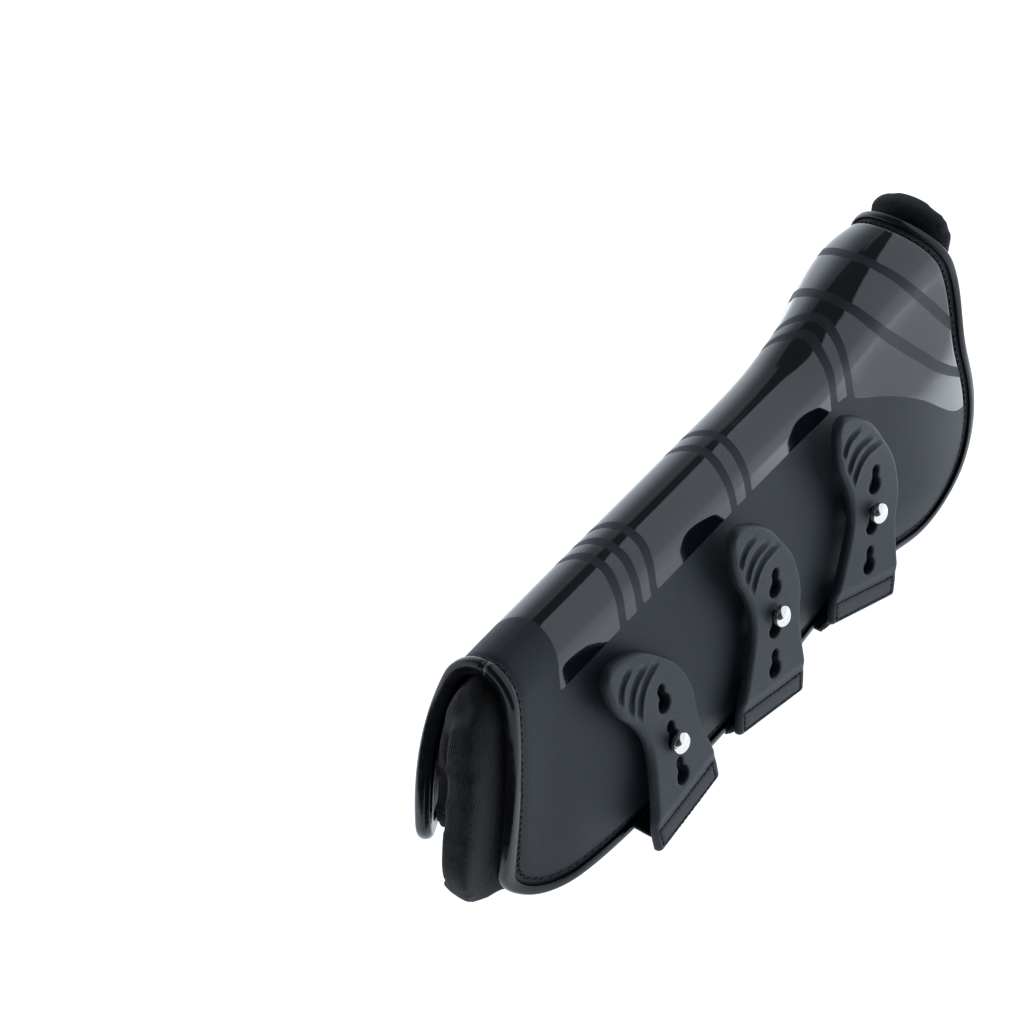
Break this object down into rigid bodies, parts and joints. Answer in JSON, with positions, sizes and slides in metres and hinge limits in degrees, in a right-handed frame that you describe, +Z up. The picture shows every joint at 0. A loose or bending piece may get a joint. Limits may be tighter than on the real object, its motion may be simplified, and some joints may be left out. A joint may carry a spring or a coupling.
{
  "type": "horse tendon boot",
  "caption": "Moulded open-front leg guard with a padded liner, bound edge, and slotted rubber tabs on elastic straps that hook over domed studs.",
  "frame": {"origin": "middle of the bottom of the part's box, on the ground the boot stands on", "axes": "+X along the leg from the narrow upper end to the wide fetlock end, +Z up through the spine, -Y the side with the studs and tabs"},
  "size_m": [0.3274, 0.108, 0.1336],
  "materials": {
    "shell": "satin moulded polyurethane with gloss inlays",
    "binding": "gloss",
    "liner": "neoprene foam faced with knit",
    "hook_loop": "hook-and-loop tape",
    "tab_rubber": "satin",
    "elastic": "woven elastic",
    "stud_metal": "polished",
    "washer": "moulded nylon"
  },
  "bodies": {
    "boot": {"shell": "shell", "edge_binding": "binding", "liner": "liner", "hook_strip_left": "hook_loop", "hook_strip_right": "hook_loop", "loop_strip_left": "hook_loop", "loop_strip_right": "hook_loop", "strap_1": "elastic", "stud_1": "stud_metal", "stud_washer_1": "washer", "stud_cap_1": "stud_metal", "strap_anchor_1": "elastic", "strap_2": "elastic", "stud_2": "stud_metal", "stud_washer_2": "washer", "stud_cap_2": "stud_metal", "strap_anchor_2": "elastic", "strap_3": "elastic", "stud_3": "stud_metal", "stud_washer_3": "washer", "stud_cap_3": "stud_metal", "strap_anchor_3": "elastic"},
    "tab_1": {"tab_1": "tab_rubber"},
    "tab_2": {"tab_2": "tab_rubber"},
    "tab_3": {"tab_3": "tab_rubber"}
  },
  "joints": [
    {"name": "tab_1_slide", "type": "slide", "parent": "boot", "child": "tab_1", "axis": [-0.0063, 0.2911, 0.9567], "range_m": [-0.0064, 0], "deforming": ["strap_1"]},
    {"name": "tab_2_slide", "type": "slide", "parent": "boot", "child": "tab_2", "axis": [0.2296, 0.231, 0.9455], "range_m": [0, 0.0064], "stiffness_N_per_m": 300, "deforming": ["strap_2"]},
    {"name": "tab_3_slide", "type": "slide", "parent": "boot", "child": "tab_3", "axis": [0.3089, 0.2218, 0.9249], "range_m": [0, 0.0064], "stiffness_N_per_m": 300, "deforming": ["strap_3"]}
  ]
}
